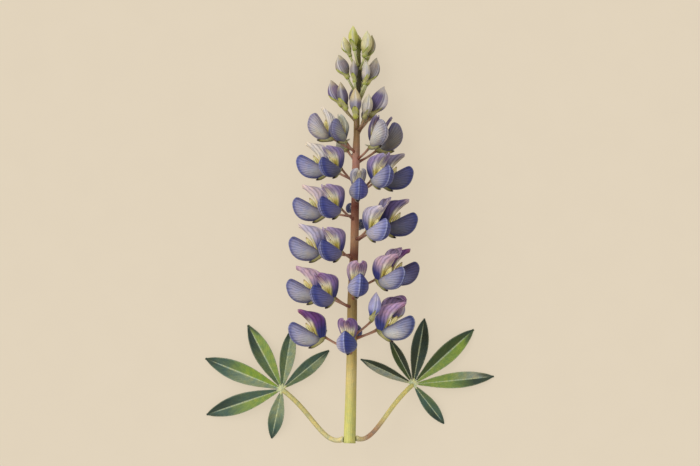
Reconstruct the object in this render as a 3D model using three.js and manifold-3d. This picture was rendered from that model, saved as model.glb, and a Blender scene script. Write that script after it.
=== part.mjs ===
// A cut lupin flower spike with its two lowest leaves, lying on its side.
// Millimetres. X runs across the spike, Y up the spike and Z up from the surface it lies on.
// The origin is on that surface, under the middle of the whole part.

import * as THREE from 'three';
import { mergeVertices } from 'three/addons/utils/BufferGeometryUtils.js';
import Module from 'manifold-3d';

const wasm = await Module();
wasm.setup();

// ---------------------------------------------------------------- driving dimensions

const SPIKE_TILT = 4.4;       // degrees: the axis sinks this much towards the tip
const AXIS_HEIGHT = 18.5;     // height of the axis above the surface at the lowest whorl
const LOWEST_WHORL = -46;     // where that height is measured, along the axis
const GAP = 0.3;              // clearance between a bloom and its stalk, and leaf and stem
const PETAL = 0.7;            // thickness of a standard petal
const LEAFLET = 0.7;          // thickness of a leaflet
const PRESS = 0.3;            // how much of a leaflet's tip the surface presses flat

// Stem axis: [place along the axis, sideways drift, diameter].
const STEM = [
  [-90, 0.0, 5.2],
  [-72, 0.5, 4.8],
  [-54, 0.9, 4.5],
  [-28, 1.2, 4.2],
  [-5, 2.1, 3.6],
  [11, 2.4, 3.45],
  [37, 2.9, 3.2],
  [43, 3.1, 2.7],
  [56, 3.1, 2.4],
  [65, 3.8, 2.4],
  [74, 4.0, 2.1],
  [81, 3.8, 1.5],
  [84, 3.7, 1.6],
  [87, 3.8, 0.3],
];
const STEM_SIDES = 9;

const STALK = 1.0;            // diameter of a flower stalk
const STALK_FOOT = 1.2;       // its diameter inside the stem
const STALK_ROOT = 0.3;       // where it starts, measured out from the axis
const STALK_DROP = 0.6;       // how far below its height in the table that start lies
const STALK_SIDES = 4;

// Every bloom: azimuth round the axis in degrees (0 to the right, 90 up, 180 to the left, 270
// down), height where its stalk leaves the stem, reach of the stalk from the axis, rise of the
// stalk, how far it is open (1 open, 0 a bud), size against a full bloom, how far the bloom
// itself leans up towards the tip, in degrees. The last number is the girth of a bud against a
// full one, or how far the further lobe of an open standard petal is drawn up and out.
const WHORLS = {
  a: [
    [172, -48.9, 11.4, 4.4, 1, 1.0, 0, 0],
    [98, -51.2, 6.0, 4.2, 1, 0.97, -8, 0],
    [13, -44.2, 10.8, 2.9, 1, 1.04, -3, 1.1],
    [50, -42.9, 12.8, 4.9, 0, 1.08, 73, 0.85],
    [-22, -44.4, 19.2, 6.4, 0, 1.0, 72, 1],
    [-84, -43.0, 7.2, 2.0, 0, 1.1, 0, 1],
  ],
  b: [
    [184, -30.5, 12.4, 5.0, 1, 1.0, 0, 0],
    [130, -30.8, 11.6, 3.2, 1, 0.93, -6, 0],
    [80, -27.6, 5.2, 4.7, 1, 0.98, -6, 0],
    [38, -22.8, 12.4, 3.0, 1, 0.97, -6, 1.1],
    [-1, -22.9, 12.5, 5.2, 1, 1.0, -2, 0.1],
    [-86, -27.0, 5.0, 2.0, 0, 0.9, 6, 1],
  ],
  c: [
    [181, -8.4, 12.1, 1.1, 1, 1.0, 0, 0],
    [125, -10.0, 9.2, 2.4, 1, 0.93, -8, 0],
    [56, -1.5, 9.4, 2.7, 1, 0.97, -8, 1.3],
    [6, -1.8, 10.7, 5.6, 1, 1.02, -4, 0],
    [-76, 2.6, 5.4, 2.4, 0, 0.8, 6, 1],
  ],
  d: [
    [182, 8.6, 11.2, 1.3, 1, 0.98, 0, 0],
    [125, 7.2, 10.6, 3.6, 1, 0.93, -8, 0],
    [84, 14.6, 5.2, 3.6, 0.75, 0.9, -4, 0],
    [57, 18.4, 12.8, 4.4, 1, 0.92, -2, 0.3],
    [9, 18.6, 9.4, 4.9, 1, 0.98, -2, 0],
    [-101, 9.6, 4.4, 2.4, 0, 0.78, 6, 1],
  ],
  e: [
    [182, 24.4, 9.9, 4.0, 1, 0.98, 0, 0],
    [128, 23.0, 10.2, 5.2, 1, 0.86, -8, 0],
    [44, 33.4, 7.6, 3.6, 0.35, 0.86, 38, 0],
    [-10, 32.2, 8.6, 4.2, 0.35, 0.94, 34, 0],
    [-92, 30.6, 4.0, 3.0, 0, 0.64, 20, 1],
  ],
  f: [
    [176, 37.2, 9.4, 4.2, 0.7, 0.88, 30, 0],
    [134, 36.4, 5.8, 3.2, 0.5, 0.74, 34, 0],
    [54, 45.9, 5.6, 3.8, 0, 0.95, 72, 0.85],
    [4, 45.4, 5.8, 5.5, 0, 1.25, 64, 0.95],
    [-122, 33.2, 6.6, 3.6, 0, 0.86, 30, 1],
    [-56, 44.0, 5.0, 4.4, 0, 0.96, 56, 1],
  ],
  g: [
    [178, 50.4, 6.4, 5.2, 0, 1.06, 66, 0.9],
    [137, 50.0, 6.0, 3.6, 0, 1.06, 72, 0.75],
    [95, 46.4, 5.7, 3.4, 0, 1.12, 84, 0.82],
    [-100, 52.0, 4.4, 3.6, 0, 0.9, 62, 0.8],
  ],
  h: [
    [-10, 57.8, 4.1, 7.2, 0, 1.1, 68, 0.8],
    [47, 60.0, 4.3, 4.6, 0, 0.9, 82, 0.68],
    [169, 62.4, 4.2, 5.2, 0, 0.95, 66, 1],
    [110, 61.0, 3.8, 4.6, 0, 0.85, 82, 0.7],
    [-70, 60.6, 3.8, 4.0, 0, 0.84, 66, 0.8],
  ],
  i: [
    [180, 72.4, 3.5, 4.8, 0, 0.8, 70, 0.85],
    [122, 73.9, 3.4, 5.7, 0, 0.92, 82, 0.8],
    [43, 72.4, 3.2, 4.2, 0, 1.0, 80, 0.82],
    [-27, 70.2, 4.0, 5.8, 0, 0.98, 76, 0.7],
    [-90, 73.2, 2.6, 4.6, 0, 0.8, 82, 0.8],
  ],
};

// Leaves: hub, foot on the stem, then the leaflets as [length, width, direction in degrees].
const LEAVES = [
  {
    name: 'leaf_left',
    side: -1,
    hub: [-29.4, -67.4, 3.4],
    foot: -88.2,
    thick: 2.1,
    leaflets: [
      [36.0, 8.4, 158.3],
      [31.6, 7.8, 118.1],
      [26.7, 6.5, 80.6],
      [26.5, 6.3, 39.4],
      [34.8, 8.2, 198.8],
      [22.1, 6.5, 258.1],
    ],
  },
  {
    name: 'leaf_right',
    side: 1,
    hub: [27.7, -65.2, 3.4],
    foot: -87.8,
    thick: 2.0,
    leaflets: [
      [25.3, 4.6, 154.8],
      [21.8, 4.6, 117.6],
      [29.0, 7.2, 80.1],
      [35.6, 7.9, 41.9],
      [35.4, 6.8, 5.3],
      [22.0, 5.4, -52.1],
    ],
  },
];

const PETIOLE_STEPS = 7;
const PETIOLE_DIP = 11;       // how far a leaf stalk dips past the foot before it turns to its leaf
const PETIOLE_FOOT = 1.25;    // thickness of its foot against the rest of it
const PETIOLE_CURL = 1.5;     // how much slower it leaves the stem than it reaches the leaf
const PETIOLE_SIDES = 7;

// Leaflet: places of its cross ribs along it, the arch of its midrib and the fold of its halves.
const LEAFLET_RIBS = [0.02, 0.16, 0.34, 0.52, 0.7, 0.88, 1];
const LEAFLET_ARCH = 1.2;     // height of the arch
const LEAFLET_FOLD = 0.25;    // rise of the margin against the half width
const LEAFLET_NECK = 0.1;     // least width against the full width
const LEAFLET_HEAVY = 1.25;   // over 1, its widest place lies past the middle
const LEAFLET_FULL = 0.8;     // under 1, its outline is fuller than a plain bow

// Open bloom, in its own plane: u leads out from the stalk, v towards the tip of the spike.
const WING_OUTLINE = [
  [2.6, 0.2], [8.8, 3.9], [13.2, 6.4], [15.2, 6.0], [16.2, 3.2],
  [14.8, -1.0], [10.8, -3.8], [5.8, -3.8], [2.4, -2.0],
];
const WING_HEART = [9.2, 0.3];
const WING_HALF_WIDTH = 4.5;
// Slices through the pair of wings: [place across the bloom, size against the outline].
const WING_LEVELS = [[-3.4, 0.7], [-0.9, 1], [0, 0.97], [0.9, 1], [3.4, 0.7]];
// The pair narrows by this share towards its upper edge, between these two distances from a line
// through its heart that climbs with this slope.
const WING_PINCH = { share: 0.4, slope: 0.35, from: 0.5, to: 5.5 };
// Standard petal, from its foot up: its front edge, its back margin, its half width and how deep
// the crease up its middle is.
const BANNER_FRONT = [[3.2, -1.0], [5.8, 3.8], [7.6, 6.8], [11.2, 10.2]];
const BANNER_BACK = [[0.6, -0.4], [-0.3, 5.0], [1.8, 9.2], [8.0, 11.1]];
const BANNER_HALF_WIDTH = [0.8, 3.4, 4.4, 3.2];
const BANNER_CREASE = [0.4, 0.7, 1.0, 0.7];
const BANNER_FACE = 0.48;     // share of the half width that looks out at the keel
const BANNER_TUCK = 0.78;     // where its back margins end, against the half width
const CREASE_DROP = 0.6;      // how far the crease drops for each millimetre that it goes back
const BANNER_HINGE = [3.4, -0.6];
const BANNER_CLOSED = 24;     // degrees that it still leans over the wings in a bud
const BANNER_FURLED = 0.5;    // its width in a bud against an open bloom's
const BANNER_FLARE = 0.4;     // how much of its lift the further lobe also spreads out
// Keel: [u, v, radius] up to its tip.
const KEEL = [[4.6, -1.4, 0.7], [6.0, 1.0, 1.1], [7.3, 3.6, 1.3], [8.6, 6.2, 0.25]];
// Calyx of an open bloom: [u, v, half width, half height, slant in degrees]. Its first ring faces
// the stalk instead, and its last one is the tip of its lower lip.
const CALYX = [
  [0, 0, 0.75, 0.75, 0],
  [1.4, -0.6, 1.3, 1.2, -30],
  [3.2, -2.2, 1.5, 1.0, -42],
  [5.6, -4.0, 1.2, 0.6, -34],
  [7.4, -4.7, 0.3, 0.3, -22],
];
const CALYX_SIDES = 5;

// Bud: [place along its axis, radius, how far the lower side runs ahead of the upper one]. The
// first rings are the calyx, which ends in a lip, and the pod of folded petals follows.
const BUD_PROFILE = [
  [0, 0.75, 0],
  [1.1, 1.35, 0],
  [2.2, 2.1, 2.4],
  [2.4, 1.9, 2.2],
  [5.6, 2.9, 0],
  [8.4, 2.5, 0],
  [10.3, 1.4, 0],
  [11.6, 0.3, 0],
];
const BUD_SIDES = 7;

// ---------------------------------------------------------------- solids

// A closed solid from points and triangles, turned right side out.
function solid(points, triangles) {
  let volume = 0;
  for (const [a, b, c] of triangles) {
    volume += points[a].dot(new THREE.Vector3().crossVectors(points[b], points[c]));
  }
  const faces = volume < 0 ? triangles.map(([a, b, c]) => [a, c, b]) : triangles;
  return new wasm.Manifold(new wasm.Mesh({
    numProp: 3,
    vertProperties: new Float32Array(points.flatMap((p) => [p.x, p.y, p.z])),
    triVerts: new Uint32Array(faces.flat()),
  }));
}

// A skin over rings of points, closed at each end by a flat fan.
function loft(rings) {
  const sides = rings[0].length;
  const points = rings.flat();
  const triangles = [];
  for (let r = 0; r + 1 < rings.length; r += 1) {
    for (let i = 0; i < sides; i += 1) {
      const a = r * sides + i;
      const b = r * sides + (i + 1) % sides;
      triangles.push([a, b, b + sides], [a, b + sides, a + sides]);
    }
  }
  const last = (rings.length - 1) * sides;
  for (const [start, flip] of [[0, true], [last, false]]) {
    for (let i = 1; i + 1 < sides; i += 1) {
      triangles.push(flip ? [start, start + i + 1, start + i] : [start, start + i, start + i + 1]);
    }
  }
  return solid(points, triangles);
}

// A round tube along a path of points that isn't upright, with one radius a point. Its first end
// is square to startDirection where that is given.
function tube(path, radii, sides, startDirection = null) {
  const rings = [];
  let across = null;
  for (let i = 0; i < path.length; i += 1) {
    const before = path[Math.max(i - 1, 0)];
    const after = path[Math.min(i + 1, path.length - 1)];
    const chord = new THREE.Vector3().subVectors(after, before).normalize();
    const along = i === 0 && startDirection ? startDirection : chord;
    across ??= new THREE.Vector3(0, 0, 1);
    across = across.clone().addScaledVector(along, -across.dot(along)).normalize();
    const other = new THREE.Vector3().crossVectors(along, across);
    const ring = [];
    for (let k = 0; k < sides; k += 1) {
      const turn = (k / sides) * 2 * Math.PI;
      ring.push(path[i].clone()
        .addScaledVector(across, radii[i] * Math.cos(turn))
        .addScaledVector(other, radii[i] * Math.sin(turn)));
    }
    rings.push(ring);
  }
  return loft(rings);
}

// A thin sheet from a grid of points, thickened away from its upper face.
function blade(grid, thickness) {
  const rows = grid.length;
  const columns = grid[0].length;
  const upper = grid.flat();
  const lower = [];
  for (let i = 0; i < rows; i += 1) {
    for (let j = 0; j < columns; j += 1) {
      const along = new THREE.Vector3().subVectors(
        grid[Math.min(i + 1, rows - 1)][j], grid[Math.max(i - 1, 0)][j]);
      const across = new THREE.Vector3().subVectors(
        grid[i][Math.min(j + 1, columns - 1)], grid[i][Math.max(j - 1, 0)]);
      const normal = along.cross(across).normalize();
      lower.push(grid[i][j].clone().addScaledVector(normal, thickness));
    }
  }
  const below = rows * columns;
  const triangles = [];
  for (let i = 0; i + 1 < rows; i += 1) {
    for (let j = 0; j + 1 < columns; j += 1) {
      const a = i * columns + j;
      const quads = [[a, a + 1, a + columns + 1], [a, a + columns + 1, a + columns]];
      for (const [p, q, r] of quads) {
        triangles.push([p, q, r], [below + p, below + r, below + q]);
      }
    }
  }
  const rim = [];
  const last = (rows - 1) * columns;
  for (let j = 0; j + 1 < columns; j += 1) rim.push([j + 1, j], [last + j, last + j + 1]);
  for (let i = 0; i < last; i += columns) {
    rim.push([i, i + columns], [i + 2 * columns - 1, i + columns - 1]);
  }
  for (const [a, b] of rim) triangles.push([a, b, below + b], [a, below + b, below + a]);
  return solid([...upper, ...lower], triangles);
}

// ---------------------------------------------------------------- places

const radians = THREE.MathUtils.degToRad;

// The value in column `column` of the stem table at a place along the axis.
function stemAt(y, column) {
  let row = 0;
  while (row < STEM.length - 2 && y > STEM[row + 1][0]) row += 1;
  const share = (y - STEM[row][0]) / (STEM[row + 1][0] - STEM[row][0]);
  return THREE.MathUtils.lerp(STEM[row][column], STEM[row + 1][column], THREE.MathUtils.clamp(share, 0, 1));
}

// From the spike's own frame, its axis level along Y, to the part's frame.
const spikeFrame = new THREE.Matrix4()
  .makeTranslation(0, LOWEST_WHORL, AXIS_HEIGHT)
  .multiply(new THREE.Matrix4().makeRotationX(-radians(SPIKE_TILT)))
  .multiply(new THREE.Matrix4().makeTranslation(0, -LOWEST_WHORL, 0));

// Where a bloom sits: its base, the frame of its own plane and the way its stalk arrives.
function seat([azimuth, height, reach, rise, , size, lean]) {
  const out = new THREE.Vector3(Math.cos(radians(azimuth)), 0, Math.sin(radians(azimuth)));
  const up = new THREE.Vector3(0, 1, 0);
  const side = new THREE.Vector3().crossVectors(out, up);
  const base = out.clone().multiplyScalar(reach);
  base.x += stemAt(height, 1);
  base.y = height + rise;
  const frame = new THREE.Matrix4()
    .makeBasis(out, up, side)
    .setPosition(base)
    .multiply(new THREE.Matrix4().makeRotationZ(radians(lean)))
    .scale(new THREE.Vector3(size, size, size));
  const arrival = Math.atan2(rise, reach - stemAt(height, 2) / 4);
  return { out, base, frame, arrival: arrival - radians(lean), height };
}

// ---------------------------------------------------------------- blooms

// A calyx: a small cup at the base of the bloom that runs out under the wings into one lower lip.
function calyx(arrival) {
  const rings = CALYX.map(([u, v, halfWidth, halfHeight, slant], i) => {
    const lean = i === 0 ? arrival : radians(slant);
    const ring = [];
    for (let k = 0; k < CALYX_SIDES; k += 1) {
      const turn = (k / CALYX_SIDES) * 2 * Math.PI;
      const high = halfHeight * Math.cos(turn);
      ring.push(new THREE.Vector3(
        u - high * Math.sin(lean), v + high * Math.cos(lean), halfWidth * Math.sin(turn)));
    }
    return ring;
  });
  return loft(rings);
}

// The two wing petals, puffed out and meeting in a seam along the front.
function wings() {
  const [heartU, heartV] = WING_HEART;
  const { share, slope, from, to } = WING_PINCH;
  const pinch = (u, v) => 1 - share * THREE.MathUtils.smoothstep(v - slope * (u - heartU), from, to);
  const rings = WING_LEVELS.map(([w, scale]) => WING_OUTLINE.map(([u, v]) => {
    const x = heartU + (u - heartU) * scale;
    const y = heartV + (v - heartV) * scale;
    return new THREE.Vector3(x, y, w * pinch(x, y));
  }));
  const sides = WING_OUTLINE.length;
  const points = [
    ...rings.flat(),
    new THREE.Vector3(heartU, heartV, -WING_HALF_WIDTH),
    new THREE.Vector3(heartU, heartV, WING_HALF_WIDTH),
  ];
  const triangles = [];
  for (let r = 0; r + 1 < rings.length; r += 1) {
    for (let i = 0; i < sides; i += 1) {
      const a = r * sides + i;
      const b = r * sides + (i + 1) % sides;
      triangles.push([a, b, b + sides], [a, b + sides, a + sides]);
    }
  }
  const last = (rings.length - 1) * sides;
  for (let i = 0; i < sides; i += 1) {
    const next = (i + 1) % sides;
    triangles.push([next, i, points.length - 2], [last + i, last + next, points.length - 1]);
  }
  return solid(points, triangles);
}

// The standard petal: two lobes folded back from a crease that leads up its middle, the further
// the more the bloom is open.
function banner(openness, lift) {
  const [hingeU, hingeV] = BANNER_HINGE;
  const close = -radians(BANNER_CLOSED) * (1 - openness);
  const spread = THREE.MathUtils.lerp(BANNER_FURLED, 1, openness);
  const place = (u, v, w) => new THREE.Vector3(
    u - hingeU,
    v - hingeV + lift * Math.max(-w, 0),
    w * spread * (w < 0 ? 1 + BANNER_FLARE * lift : 1),
  )
    .applyAxisAngle(new THREE.Vector3(0, 0, 1), close)
    .add(new THREE.Vector3(hingeU, hingeV, 0));
  const grid = BANNER_FRONT.map(([u, v], i) => {
    const [backU, backV] = BANNER_BACK[i];
    const width = BANNER_HALF_WIDTH[i];
    const crease = BANNER_CREASE[i];
    const towards = (share) => [
      THREE.MathUtils.lerp(u, backU, openness * share),
      THREE.MathUtils.lerp(v, backV, openness * share),
    ];
    return [
      place(...towards(1), -width * BANNER_TUCK),
      place(...towards(0.5), -width),
      place(u, v, -width * BANNER_FACE),
      place(u - crease, v - crease * CREASE_DROP, 0),
      place(u, v, width * BANNER_FACE),
      place(...towards(0.5), width),
      place(...towards(1), width * BANNER_TUCK),
    ];
  });
  return blade(grid, PETAL);
}

// The tip of the keel, standing up between the wings in front of the standard petal.
function keel() {
  return tube(KEEL.map(([u, v]) => new THREE.Vector3(u, v, 0)), KEEL.map((row) => row[2]), 3);
}

function openBloom(arrival, openness, lift) {
  return wings()
    .add(banner(openness, lift))
    .add(keel())
    .add(calyx(arrival));
}

function bud(arrival, girth) {
  const rings = BUD_PROFILE.map(([along, radius, lip], i) => {
    const slant = i === 0 ? arrival : 0;
    const ring = [];
    for (let k = 0; k < BUD_SIDES; k += 1) {
      const turn = (k / BUD_SIDES) * 2 * Math.PI;
      const high = radius * girth * Math.cos(turn);
      const ahead = (lip * (1 - Math.cos(turn))) / 2;
      ring.push(new THREE.Vector3(
        along + ahead - high * Math.sin(slant), high * Math.cos(slant), radius * girth * Math.sin(turn)));
    }
    return ring;
  });
  return loft(rings);
}

// ---------------------------------------------------------------- stem and leaves

function stem(seats) {
  const path = STEM.map(([y, x]) => new THREE.Vector3(x, y, 0).applyMatrix4(spikeFrame));
  let body = tube(path, STEM.map((row) => row[2] / 2), STEM_SIDES);
  for (const { out, base, height } of seats) {
    const root = new THREE.Vector3(stemAt(height, 1), height - STALK_DROP, 0);
    root.addScaledVector(out, STALK_ROOT);
    const along = new THREE.Vector3().subVectors(base, root).normalize();
    const end = base.clone().addScaledVector(along, -GAP);
    const stalk = [root, end].map((p) => p.clone().applyMatrix4(spikeFrame));
    body = body.add(tube(stalk, [STALK_FOOT / 2, STALK / 2], STALK_SIDES));
  }
  return body;
}

function leaflet(hub, [length, width, direction]) {
  const along = new THREE.Vector3(Math.cos(radians(direction)), Math.sin(radians(direction)), 0);
  const across = new THREE.Vector3(-along.y, along.x, 0);
  const drop = hub.z - LEAFLET + PRESS;
  const grid = LEAFLET_RIBS.map((share) => {
    const bow = Math.sin(Math.PI * share ** LEAFLET_HEAVY) ** LEAFLET_FULL;
    const half = (width / 2) * Math.max(LEAFLET_NECK, bow);
    const height = hub.z + LEAFLET_ARCH * Math.sin(Math.PI * share) - drop * share;
    const middle = new THREE.Vector3(hub.x, hub.y, height).addScaledVector(along, share * length);
    const lift = new THREE.Vector3(0, 0, half * LEAFLET_FOLD);
    return [
      middle.clone().addScaledVector(across, half).add(lift),
      middle,
      middle.clone().addScaledVector(across, -half).add(lift),
    ];
  });
  return blade(grid, LEAFLET);
}

function leaf({ hub, side, foot, thick, leaflets }) {
  const centre = new THREE.Vector3(...hub);
  const joint = new THREE.Vector3(stemAt(foot, 1), foot, 0).applyMatrix4(spikeFrame);
  const reach = stemAt(foot, 2) / 2 + GAP;
  joint.x += side * reach;
  const path = [];
  for (let i = 0; i <= PETIOLE_STEPS; i += 1) {
    const share = (i / PETIOLE_STEPS) ** PETIOLE_CURL;
    const point = new THREE.Vector3().lerpVectors(joint, centre, share);
    point.y -= PETIOLE_DIP * Math.sin(Math.PI * share) * (1 - share) ** 2;
    path.push(point);
  }
  const radii = path.map((_, i) => (thick / 2) * (i === 0 ? PETIOLE_FOOT : 1));
  let body = tube(path, radii, PETIOLE_SIDES, new THREE.Vector3(side, 0, 0));
  for (const row of leaflets) body = body.add(leaflet(centre, row));
  return body;
}

// ---------------------------------------------------------------- the part

const WING_BLUE = 0x5f66a6;
const BUD_LILAC = 0x8f86ad;
const BUD_CREAM = 0xcfcfa0;
const STEM_TAN = 0xb08a52;
const LEAF_GREEN = 0x4f6b45;

// A block under the surface, which cuts a flat spot where a petal or leaflet presses on it.
const FLOOR_WIDTH = 300;
const FLOOR_DEPTH = 40;
const floorBlock = new THREE.BoxGeometry(FLOOR_WIDTH, FLOOR_WIDTH, FLOOR_DEPTH)
  .translate(0, 0, -FLOOR_DEPTH / 2);
const floor = solid(...weldedFaces(floorBlock));

// The shared corners and the triangles of a three.js geometry.
function weldedFaces(geometry) {
  const bare = geometry.clone();
  bare.deleteAttribute('normal');
  bare.deleteAttribute('uv');
  const welded = mergeVertices(bare);
  const position = welded.getAttribute('position');
  const points = [];
  for (let i = 0; i < position.count; i += 1) {
    points.push(new THREE.Vector3().fromBufferAttribute(position, i));
  }
  const corners = welded.getIndex().array;
  const triangles = [];
  for (let i = 0; i < corners.length; i += 3) triangles.push([...corners.subarray(i, i + 3)]);
  return [points, triangles];
}

const group = new THREE.Group();

function addMesh(name, body, colour) {
  const { vertProperties, triVerts } = body.subtract(floor).getMesh();
  const geometry = new THREE.BufferGeometry();
  geometry.setAttribute('position', new THREE.BufferAttribute(vertProperties, 3));
  geometry.setIndex(new THREE.BufferAttribute(triVerts, 1));
  const material = new THREE.MeshStandardMaterial({ color: colour, roughness: 0.6, metalness: 0 });
  const mesh = new THREE.Mesh(geometry, material);
  mesh.name = name;
  group.add(mesh);
}

// A manifold body moved by a three.js matrix.
function moved(body, matrix) {
  const { vertProperties, triVerts } = body.getMesh();
  const points = [];
  for (let i = 0; i < vertProperties.length; i += 3) {
    points.push(new THREE.Vector3().fromArray(vertProperties, i).applyMatrix4(matrix));
  }
  const triangles = [];
  for (let i = 0; i < triVerts.length; i += 3) triangles.push([...triVerts.subarray(i, i + 3)]);
  return solid(points, triangles);
}

const HALF_OPEN = 0.3;        // a bloom that is open less than this is a bud
const seats = [];
for (const [whorl, rows] of Object.entries(WHORLS)) {
  rows.forEach((row, index) => {
    const place = seat(row);
    const openness = row[4];
    const frame = new THREE.Matrix4().multiplyMatrices(spikeFrame, place.frame);
    const label = `${whorl}${index + 1}`;
    if (openness > HALF_OPEN) {
      addMesh(`floret_${label}`, moved(openBloom(place.arrival, openness, row[7]), frame), WING_BLUE);
    } else {
      addMesh(`bud_${label}`, moved(bud(place.arrival, row[7]), frame), whorl === 'i' ? BUD_CREAM : BUD_LILAC);
    }
    seats.push(place);
  });
}
addMesh('stem', stem(seats), STEM_TAN);
for (const row of LEAVES) addMesh(row.name, leaf(row), LEAF_GREEN);

export default group;
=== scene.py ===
"""The looks of a cut lupin flower spike with its two lowest leaves, lying on its side.

Every bloom, the stem and both leaves are modelled again as fine tissue, where their solids lie in the frame.
Lengths are in millimetres until a mesh is made, and X, Y and Z are those of the frame.
"""

import math

import bpy
import numpy as np
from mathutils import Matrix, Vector


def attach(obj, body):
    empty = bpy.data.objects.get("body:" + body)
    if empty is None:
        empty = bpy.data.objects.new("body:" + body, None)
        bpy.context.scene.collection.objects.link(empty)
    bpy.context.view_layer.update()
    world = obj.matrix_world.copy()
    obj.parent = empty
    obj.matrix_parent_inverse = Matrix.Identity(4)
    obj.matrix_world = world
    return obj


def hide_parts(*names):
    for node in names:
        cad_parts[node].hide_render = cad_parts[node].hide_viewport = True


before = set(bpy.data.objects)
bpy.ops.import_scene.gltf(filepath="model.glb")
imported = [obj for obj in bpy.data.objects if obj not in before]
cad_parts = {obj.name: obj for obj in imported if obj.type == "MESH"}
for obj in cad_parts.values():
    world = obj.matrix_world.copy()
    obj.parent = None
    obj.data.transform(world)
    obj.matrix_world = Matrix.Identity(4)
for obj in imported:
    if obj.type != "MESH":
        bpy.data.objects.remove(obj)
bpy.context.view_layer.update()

MM = 0.001
rng = np.random.default_rng(11)

# ------------ layout, as in the part's source

SPIKE_TILT = 4.4  # degrees that the axis sinks towards the tip
AXIS_HEIGHT = 18.5  # height of the axis at the lowest whorl
LOWEST_WHORL = -46.0

# Stem axis: place along the axis, sideways drift, diameter.
STEM = [
    (-90, 0, 5.2), (-72, 0.5, 4.8), (-54, 0.9, 4.5), (-28, 1.2, 4.2), (-5, 2.1, 3.6),
    (11, 2.4, 3.45), (37, 2.9, 3.2), (43, 3.1, 2.7), (56, 3.1, 2.4), (65, 3.8, 2.4),
    (74, 4, 2.1), (81, 3.8, 1.5), (84, 3.7, 1.6), (87, 3.8, 0.3),
]
DRIFT, DIAMETER = 1, 2  # columns of STEM

# Every bloom: azimuth (0 to the right, 90 towards the viewer), height where its stalk leaves the stem,
# reach out from the axis, rise towards the tip, openness, size and lean, then the looks of its right wing,
# left wing and banner, as seen from the stem, and how far the banner's left lobe is drawn up.
# A bud has one look and a girth.
# Where a bloom's two wings differ, the paler right wing, on the side of the light, is partly painted light,
# and the deeper left wing is partly painted shade.
WHORLS = {}
WHORLS["a"] = [
    (172, -48.9, 11.4, 4.4, 1, 1, 0, "pale pale wine", 0),
    (98, -51.2, 6, 4.2, 1, 0.97, -8, "lavender royal plum", 0),
    (13, -44.2, 10.8, 2.9, 1, 1.04, -3, "silver silver mauve", 1.1),
    (50, -42.9, 12.8, 4.9, 0, 1.08, 73, "lilac", 0.85),
    (-22, -44.4, 19.2, 6.4, 0, 1, 72, "heather", 1),
    (-84, -43, 7.2, 2, 0, 1.1, 0, "ink", 1),
]
WHORLS["b"] = [
    (184, -30.5, 12.4, 5, 1, 1, 0, "pale pale rose", 0),
    (130, -30.8, 11.6, 3.2, 1, 0.93, -6, "pale deep plum", 0),
    (80, -27.6, 5.2, 4.7, 1, 0.98, -6, "lavender deep rose", 0),
    (38, -22.8, 12.4, 3, 1, 0.97, -6, "pale deep rose", 1.1),
    (-1, -22.9, 12.5, 5.2, 1, 1, -2, "dusky dusky wine", 0.1),
    (-86, -27, 5, 2, 0, 0.9, 6, "ink", 1),
]
WHORLS["c"] = [
    (181, -8.4, 12.1, 1.1, 1, 1, 0, "pale pale lilac", 0),
    (125, -10, 9.2, 2.4, 1, 0.93, -8, "pale deep dusk", 0),
    (56, -1.5, 9.4, 2.7, 1, 0.97, -8, "lavender deep lilac", 1.3),
    (6, -1.8, 10.7, 5.6, 1, 1.02, -4, "slate slate navy", 0),
    (-76, 2.6, 5.4, 2.4, 0, 0.8, 6, "ink", 1),
]
WHORLS["d"] = [
    (182, 8.6, 11.2, 1.3, 1, 0.98, 0, "pale pale blush", 0),
    (125, 7.2, 10.6, 3.6, 1, 0.93, -8, "pale deep dusk", 0),
    (84, 14.6, 5.2, 3.6, 0.75, 0.9, -4, "dove violet butter", 0),
    (57, 18.4, 12.8, 4.4, 1, 0.92, -2, "pale deep heather", 0.3),
    (9, 18.6, 9.4, 4.9, 1, 0.98, -2, "slate slate loam", 0),
    (-101, 9.6, 4.4, 2.4, 0, 0.78, 6, "ink", 1),
]
WHORLS["e"] = [
    (182, 24.4, 9.9, 4, 1, 0.98, 0, "azure azure cream", 0),
    (128, 23, 10.2, 5.2, 1, 0.86, -8, "dove slate heather", 0),
    (44, 33.4, 7.6, 3.6, 0.35, 0.86, 38, "pearl pearl umber", 0),
    (-10, 32.2, 8.6, 4.2, 0.35, 0.94, 34, "smoke smoke umber", 0),
    (-92, 30.6, 4, 3, 0, 0.64, 20, "ink", 1),
]
WHORLS["f"] = [
    (176, 37.2, 9.4, 4.2, 0.7, 0.88, 30, "mist mist cream", 0),
    (134, 36.4, 5.8, 3.2, 0.5, 0.74, 34, "smoke dim sage", 0),
    (54, 45.9, 5.6, 3.8, 0, 0.95, 72, "pearl", 0.85),
    (4, 45.4, 5.8, 5.5, 0, 1.25, 64, "cloven", 0.95),
    (-122, 33.2, 6.6, 3.6, 0, 0.86, 30, "frost", 1),
    (-56, 44, 5, 4.4, 0, 0.96, 56, "dusk", 1),
]
WHORLS["g"] = [
    (178, 50.4, 6.4, 5.2, 0, 1.06, 66, "violet", 0.9),
    (137, 50, 6, 3.6, 0, 1.06, 72, "dusk", 0.75),
    (95, 46.4, 5.7, 3.4, 0, 1.12, 84, "capped", 0.82),
    (-100, 52, 4.4, 3.6, 0, 0.9, 62, "dusk", 0.8),
]
WHORLS["h"] = [
    (-10, 57.8, 4.1, 7.2, 0, 1.1, 68, "ash", 0.8),
    (47, 60, 4.3, 4.6, 0, 0.9, 82, "silver", 0.68),
    (169, 62.4, 4.2, 5.2, 0, 0.95, 66, "moon", 1),
    (110, 61, 3.8, 4.6, 0, 0.85, 82, "ash", 0.7),
    (-70, 60.6, 3.8, 4, 0, 0.84, 66, "dusk", 0.8),
]
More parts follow.
